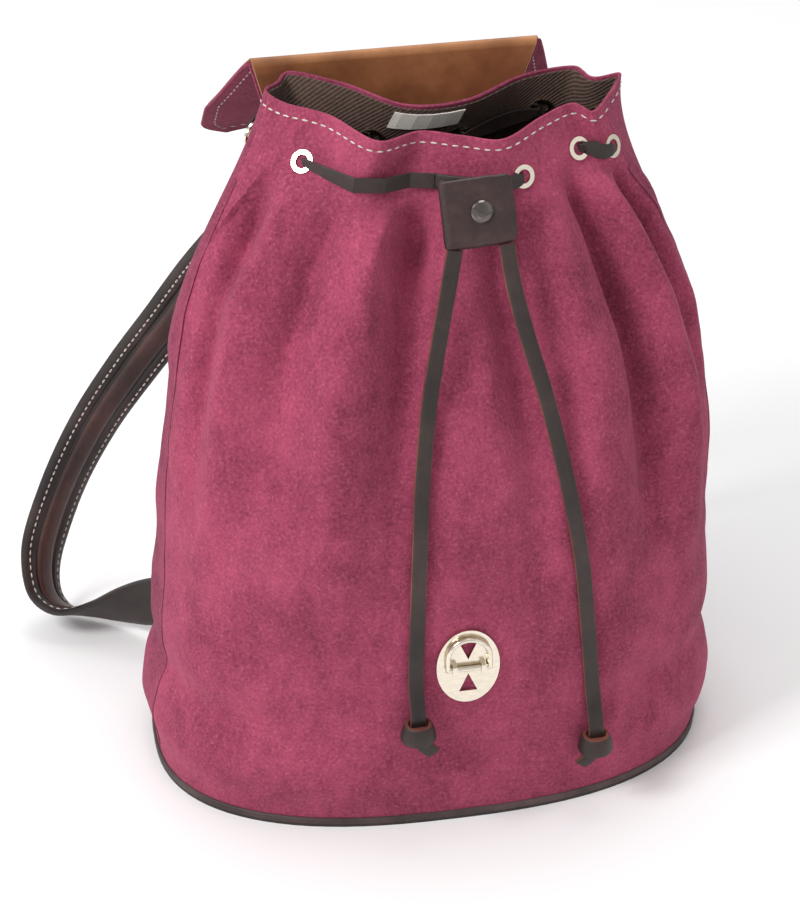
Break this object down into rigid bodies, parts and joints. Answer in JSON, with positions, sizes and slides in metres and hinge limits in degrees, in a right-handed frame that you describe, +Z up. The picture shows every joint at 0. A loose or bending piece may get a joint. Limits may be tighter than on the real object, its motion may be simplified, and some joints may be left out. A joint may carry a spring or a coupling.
{
  "type": "drawstring backpack",
  "caption": "Suede drawstring backpack with a leather base, a turn-back flap, a lace through metal eyelets with a slider, an oval lock and leather shoulder straps.",
  "frame": {"origin": "centre of the underside of the base, where the bag stands on the floor", "axes": "+Z up, -Y towards the front of the bag with the lock, +X towards the right as seen from the front"},
  "size_m": [0.343, 0.2442, 0.3537],
  "materials": {
    "suede": "fuchsia suede, matt, brushed nap",
    "suede_back": "fuchsia suede in shade, matt",
    "brown_leather": "dark brown, satin, fine grain",
    "red_brown_leather": "reddish brown, satin",
    "tan_leather": "tan, waxed, fine grain",
    "twill": "dark brown twill",
    "nickel": "polished nickel",
    "dark_nickel": "polished dark nickel",
    "board": "pressed fibre board, matt",
    "label": "blank off-white label"
  },
  "bodies": {
    "bag": {"base_panel": "brown_leather", "base_board": "board", "base_binding": "brown_leather", "front_panel": "suede", "back_panel": "suede_back", "lining": "twill", "side_seams": "suede_back", "eyelets": "nickel", "eyelet_washers": "nickel", "back_yoke": "brown_leather", "yoke_rivets": "nickel", "hang_loop": "brown_leather", "inner_pocket": "twill", "blank_label": "label", "lock_plate": "nickel", "lock_back_plate": "nickel", "lace_loop": "brown_leather", "lace_tail_left": "brown_leather", "lace_tail_right": "brown_leather", "lace_stop_left": "brown_leather", "lace_stop_right": "brown_leather", "flap_root": "suede_back", "flap_root_lining": "tan_leather", "strap_tabs": "brown_leather", "strap_tab_rivets": "nickel"},
    "lock_ring": {"lock_loop": "nickel"},
    "slider": {"slider_tab": "brown_leather", "slider_spacer": "brown_leather", "slider_rivet_cap": "dark_nickel", "slider_rivet_post": "dark_nickel"},
    "flap": {"flap_suede": "suede", "flap_lining": "tan_leather", "flap_edge": "brown_leather"},
    "tongue": {"tongue_suede": "suede", "tongue_lining": "tan_leather", "tongue_plate": "nickel"},
    "strap_left": {"strap_left": "brown_leather", "strap_left_backing": "brown_leather", "strap_left_band": "red_brown_leather"},
    "strap_right": {"strap_right": "brown_leather", "strap_right_backing": "brown_leather", "strap_right_band": "red_brown_leather"}
  },
  "joints": [
    {"name": "flap_fold", "type": "hinge", "parent": "bag", "child": "flap", "pos_m": [0, 0.053, 0.354], "axis": [1, 0, 0], "range_deg": [0, 216]},
    {"name": "tongue_fold", "type": "hinge", "parent": "flap", "child": "tongue", "pos_m": [0, 0.13252, 0.2824], "axis": [1, 0, 0], "range_deg": [0, 131.7]},
    {"name": "loop_turn", "type": "hinge", "parent": "bag", "child": "lock_ring", "pos_m": [0.00382, -0.09282, 0.09549], "axis": [1, 0, 0], "range_deg": [0, 180]},
    {"name": "slider_slide", "type": "slide", "parent": "bag", "child": "slider", "axis": [0, -0.1736, -0.9848], "range_m": [0, 0.025], "deforming": ["lace_tail_left", "lace_tail_right"]},
    {"name": "strap_left_swing", "type": "hinge", "parent": "bag", "child": "strap_left", "pos_m": [-0.06824, 0.05178, 0.28027], "axis": [0.1578, -0.0932, 0.9831], "range_deg": [-8, 12]},
    {"name": "strap_right_swing", "type": "hinge", "parent": "bag", "child": "strap_right", "pos_m": [0.08185, 0.04718, 0.28211], "axis": [0.1149, 0.1111, -0.9871], "range_deg": [-8, 12]}
  ],
  "couplings": [
    {"joint": "tongue_fold", "follows": "flap_fold", "ratio": 0.60497}
  ]
}
